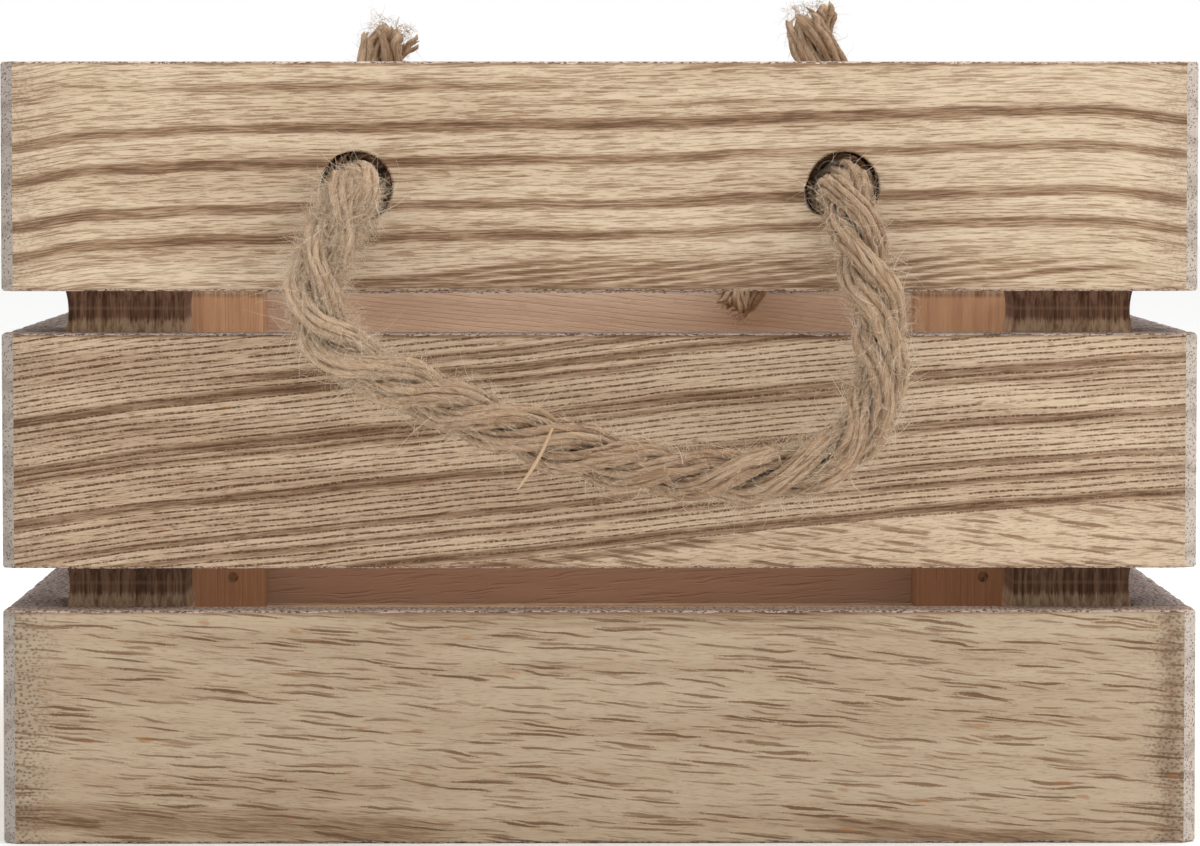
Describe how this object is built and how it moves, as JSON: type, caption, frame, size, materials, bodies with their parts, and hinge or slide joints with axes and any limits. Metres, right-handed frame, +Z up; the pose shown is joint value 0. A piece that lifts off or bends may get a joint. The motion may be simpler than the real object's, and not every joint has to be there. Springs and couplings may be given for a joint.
{
  "type": "slatted wooden crate",
  "caption": "Small open-topped slatted wooden crate with scorched and brushed boards, corner posts and a hanging jute rope handle at each end.",
  "frame": {"origin": "middle of the base, on the surface that the crate stands on", "axes": "+Z up; Y along the crate's length, with the front end (towards the viewer of the rope handle) at -Y; X across the ends"},
  "size_m": [0.21, 0.3543, 0.1499],
  "materials": {
    "slat_wood": "scorched and wire-brushed light wood, raised dark grain, unvarnished",
    "post_wood": "scorched and brushed, upright grain, darker in the gaps",
    "floor_wood": "sawn light wood, lightly scorched",
    "brad_steel": "plain bright steel brads",
    "jute_rope": "hairy laid jute rope"
  },
  "bodies": {
    "crate": {"slat_front_bottom": "slat_wood", "slat_front_middle": "slat_wood", "slat_front_top": "slat_wood", "slat_rear_bottom": "slat_wood", "slat_rear_middle": "slat_wood", "slat_rear_top": "slat_wood", "slat_left_bottom": "slat_wood", "slat_left_middle": "slat_wood", "slat_left_top": "slat_wood", "slat_right_bottom": "slat_wood", "slat_right_middle": "slat_wood", "slat_right_top": "slat_wood", "post_front_left": "post_wood", "post_front_right": "post_wood", "post_rear_left": "post_wood", "post_rear_right": "post_wood", "floor_board_1": "floor_wood", "floor_board_2": "floor_wood", "floor_board_3": "floor_wood", "floor_board_4": "floor_wood", "floor_cleat_front": "floor_wood", "floor_cleat_rear": "floor_wood", "end_brads_front": "brad_steel", "end_brads_rear": "brad_steel", "side_brads_left": "brad_steel", "side_brads_right": "brad_steel", "cleat_brads_front": "brad_steel", "cleat_brads_rear": "brad_steel", "floor_brads": "brad_steel", "rope_neck_front_left": "jute_rope", "rope_neck_front_right": "jute_rope", "rope_neck_rear_left": "jute_rope", "rope_neck_rear_right": "jute_rope", "knot_front_left": "jute_rope", "knot_front_right": "jute_rope", "knot_rear_left": "jute_rope", "knot_rear_right": "jute_rope", "rope_tail_front_left": "jute_rope", "rope_tail_front_right": "jute_rope", "rope_tail_rear_left": "jute_rope", "rope_tail_rear_right": "jute_rope"},
    "front_handle": {"handle_loop_front": "jute_rope"},
    "rear_handle": {"handle_loop_rear": "jute_rope"}
  },
  "joints": [
    {"name": "front_handle_swing", "type": "hinge", "parent": "crate", "child": "front_handle", "pos_m": [0, -0.1553, 0.1154], "axis": [-1, 0, 0], "range_deg": [0, 150]},
    {"name": "rear_handle_swing", "type": "hinge", "parent": "crate", "child": "rear_handle", "pos_m": [0, 0.1553, 0.1154], "axis": [1, 0, 0], "range_deg": [0, 150]}
  ]
}
